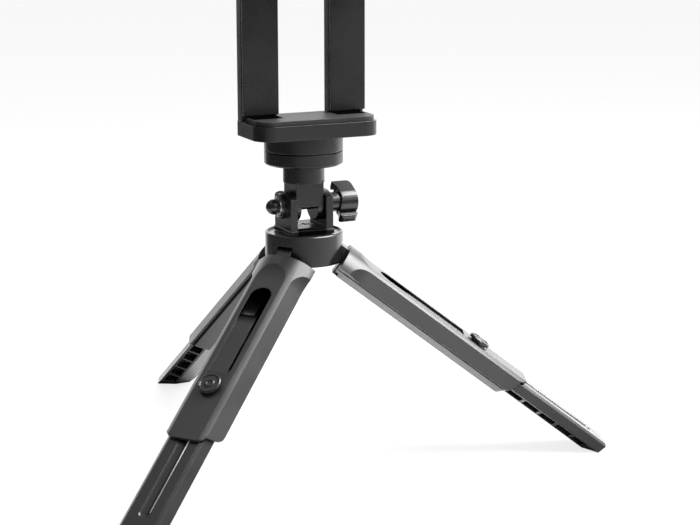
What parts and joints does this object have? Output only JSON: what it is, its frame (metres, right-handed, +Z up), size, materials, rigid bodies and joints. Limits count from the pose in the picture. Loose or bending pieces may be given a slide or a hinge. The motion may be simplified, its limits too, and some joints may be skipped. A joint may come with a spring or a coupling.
{
  "type": "phone tripod",
  "caption": "Table tripod with folding, telescoping legs, a turning and tilting head, and a sprung clamp that grips a phone between padded jaws.",
  "frame": {"origin": "on the hub's axis at floor level, the plane the feet stand on", "axes": "+Z up along the hub's axis; the clamp opens towards -Y; the tilt axis lies along X with the tilt knob at +X"},
  "size_m": [0.2651, 0.2459, 0.239],
  "materials": {
    "satin_black": "satin moulded, fine texture",
    "matte_black": "matte moulded",
    "gloss_black": "smooth",
    "leg_grey": "satin black coat",
    "steel": "zinc plated",
    "dark_steel": "blackened",
    "brass": "turned",
    "rubber": "matte",
    "grip_rubber": "soft satin"
  },
  "bodies": {
    "hub": {"hub_body": "satin_black", "hub_cover": "matte_black", "hub_screws": "dark_steel", "hinge_pins": "steel"},
    "fork": {"fork": "matte_black", "tilt_bolt": "steel", "cap_nut": "gloss_black", "tilt_washers": "steel", "pan_bolt": "dark_steel", "pan_washer": "steel", "pan_nut": "steel"},
    "knob": {"tilt_knob": "satin_black", "knob_nut": "steel"},
    "head": {"tilt_head": "matte_black", "tripod_screw": "steel", "platform_pad": "rubber"},
    "clamp": {"clamp_base": "matte_black", "thread_insert": "brass", "base_screws": "dark_steel", "clamp_frame": "satin_black", "left_rail_plate": "matte_black", "right_rail_plate": "matte_black", "lower_pad": "grip_rubber", "clamp_springs": "steel"},
    "upper_jaw": {"upper_jaw": "satin_black", "upper_pad": "grip_rubber"},
    "leg_a": {"leg_a_shell": "leg_grey", "leg_a_inner_cover": "leg_grey", "leg_a_screws": "dark_steel"},
    "extension_a": {"leg_a_extension": "satin_black", "leg_a_slider": "matte_black", "leg_a_spring": "steel", "leg_a_foot": "rubber"},
    "button_a": {"leg_a_button": "satin_black"},
    "leg_b": {"leg_b_shell": "leg_grey", "leg_b_inner_cover": "leg_grey", "leg_b_screws": "dark_steel"},
    "extension_b": {"leg_b_extension": "satin_black", "leg_b_slider": "matte_black", "leg_b_spring": "steel", "leg_b_foot": "rubber"},
    "button_b": {"leg_b_button": "satin_black"},
    "leg_c": {"leg_c_shell": "leg_grey", "leg_c_inner_cover": "leg_grey", "leg_c_screws": "dark_steel"},
    "extension_c": {"leg_c_extension": "satin_black", "leg_c_slider": "matte_black", "leg_c_spring": "steel", "leg_c_foot": "rubber"},
    "button_c": {"leg_c_button": "satin_black"}
  },
  "joints": [
    {"name": "pan", "type": "hinge", "parent": "hub", "child": "fork", "pos_m": [0, 0, 0.11098], "axis": [0, 0, 1], "continuous": true},
    {"name": "tilt", "type": "hinge", "parent": "fork", "child": "head", "pos_m": [0, 0, 0.12368], "axis": [1, 0, 0], "range_deg": [-90, 90]},
    {"name": "knob_turn", "type": "hinge", "parent": "fork", "child": "knob", "pos_m": [0, 0, 0.12368], "axis": [1, 0, 0], "continuous": true},
    {"name": "clamp_swivel", "type": "hinge", "parent": "head", "child": "clamp", "pos_m": [0, 0, 0.15078], "axis": [0, 0, 1], "continuous": true},
    {"name": "jaw_slide", "type": "slide", "parent": "clamp", "child": "upper_jaw", "axis": [0, 0, 1], "range_m": [0, 0.028], "stiffness_N_per_m": 250, "springref_m": -0.02, "deforming": ["clamp_springs"]},
    {"name": "leg_a_fold", "type": "hinge", "parent": "hub", "child": "leg_a", "pos_m": [-0.01038, -0.00782, 0.10298], "axis": [0.6018, -0.7986, 0], "range_deg": [0, 53]},
    {"name": "leg_a_slide", "type": "slide", "parent": "leg_a", "child": "extension_a", "axis": [0.6378, 0.4806, 0.6018], "range_m": [0, 0.047]},
    {"name": "leg_a_button", "type": "slide", "parent": "extension_a", "child": "button_a", "axis": [0.4806, 0.3622, -0.7986], "range_m": [0, 0.0006], "stiffness_N_per_m": 1500, "springref_m": -0.0003},
    {"name": "leg_b_fold", "type": "hinge", "parent": "hub", "child": "leg_b", "pos_m": [0.01197, -0.00508, 0.10298], "axis": [0.3907, 0.9205, 0], "range_deg": [0, 53]},
    {"name": "leg_b_slide", "type": "slide", "parent": "leg_b", "child": "extension_b", "axis": [-0.7351, 0.3121, 0.6018], "range_m": [0, 0.047]},
    {"name": "leg_b_button", "type": "slide", "parent": "extension_b", "child": "button_b", "axis": [-0.554, 0.2351, -0.7986], "range_m": [0, 0.0006], "stiffness_N_per_m": 1500, "springref_m": -0.0003},
    {"name": "leg_c_fold", "type": "hinge", "parent": "hub", "child": "leg_c", "pos_m": [-0.00158, 0.0129, 0.10298], "axis": [-0.9925, -0.1219, 0], "range_deg": [0, 53]},
    {"name": "leg_c_slide", "type": "slide", "parent": "leg_c", "child": "extension_c", "axis": [0.0973, -0.7927, 0.6018], "range_m": [0, 0.047]},
    {"name": "leg_c_button", "type": "slide", "parent": "extension_c", "child": "button_c", "axis": [0.0733, -0.5973, -0.7986], "range_m": [0, 0.0006], "stiffness_N_per_m": 1500, "springref_m": -0.0003}
  ]
}
